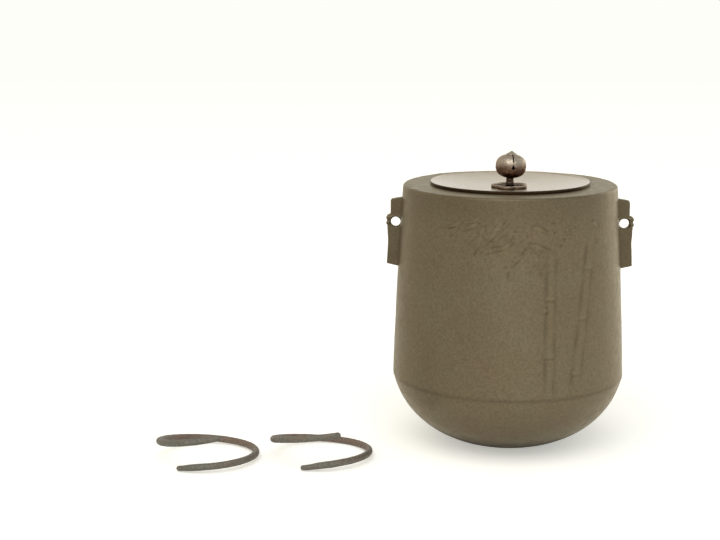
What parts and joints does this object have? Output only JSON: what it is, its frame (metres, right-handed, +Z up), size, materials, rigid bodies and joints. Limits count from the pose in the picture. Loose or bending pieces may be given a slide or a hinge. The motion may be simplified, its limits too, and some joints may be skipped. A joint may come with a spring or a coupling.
{
  "type": "tea kettle",
  "caption": "Tall cylinder-shaped iron tea kettle with a dished bronze lid, a ball knob, bamboo-joint lugs and loose lifting rings, for heating water in a tea gathering.",
  "frame": {"origin": "under the middle of the kettle's flat foot, on the surface that it stands on", "axes": "+Z up along the kettle's axis, +X from the left lug to the right lug, -Y towards the viewer's side with the knob's groove"},
  "size_m": [0.3538, 0.194, 0.224],
  "materials": {
    "kettle_iron": "matte olive-brown sand-cast skin",
    "lid_bronze": "satin brown bronze",
    "knob_bronze": "hammered reddish-brown bronze",
    "ring_iron": "forged dark grey-brown iron",
    "plate_iron": "dark iron with a little rust",
    "lacquer": "black-brown lacquer"
  },
  "bodies": {
    "kettle": {"kettle_body": "kettle_iron", "left_lug": "kettle_iron", "right_lug": "kettle_iron", "lacquer_beds": "lacquer", "singing_plate_1": "plate_iron", "singing_plate_2": "plate_iron", "singing_plate_3": "plate_iron", "singing_plate_4": "plate_iron", "singing_plate_5": "plate_iron"},
    "lid": {"lid_plate": "lid_bronze", "knob_seat": "knob_bronze", "knob": "knob_bronze", "knob_washer": "lid_bronze"},
    "loose_left_ring": {"left_ring": "ring_iron"},
    "loose_right_ring": {"right_ring": "ring_iron"}
  },
  "joints": [
    {"name": "lid_lift", "type": "slide", "parent": "kettle", "child": "lid", "axis": [0, 0, 1], "range_m": [0, 0.15]},
    {"name": "left_ring_lift", "type": "slide", "parent": "kettle", "child": "loose_left_ring", "axis": [0, 0, 1], "range_m": [0, 0.08]},
    {"name": "right_ring_lift", "type": "slide", "parent": "kettle", "child": "loose_right_ring", "axis": [0, 0, 1], "range_m": [0, 0.08]}
  ]
}
